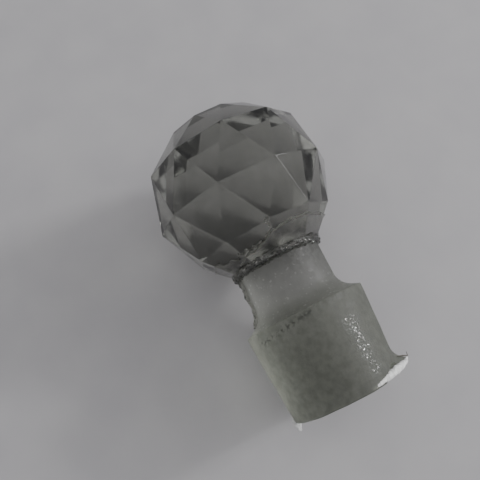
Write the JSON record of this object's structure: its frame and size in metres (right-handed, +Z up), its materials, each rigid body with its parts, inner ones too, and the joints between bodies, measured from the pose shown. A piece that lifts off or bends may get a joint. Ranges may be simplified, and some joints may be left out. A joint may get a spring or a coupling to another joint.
{
  "type": "faceted ball decanter stopper",
  "caption": "Cut glass decanter stopper lying on its side: a solid ball with flat facets, cemented to a short neck that widens into a ground taper plug.",
  "frame": {"origin": "middle of the lying stopper's length and width, on the table", "axes": "+X along the stopper's length from the ball towards the plug, +Z up; the stopper's own axis lies in the XZ plane and sinks 8.3 degrees towards the plug"},
  "size_m": [0.0752, 0.044, 0.0417],
  "materials": {
    "cut_glass": "cut and polished smoky grey glass with a slight green tint",
    "cement": "clear cement with trapped bubbles",
    "shank_glass": "grey-green glass, hazy on the neck and shoulder and ground to a frosted surface on the plug"
  },
  "bodies": {
    "root": {"faceted_ball": "cut_glass", "bond_cement": "cement", "shank": "shank_glass"}
  },
  "joints": []
}
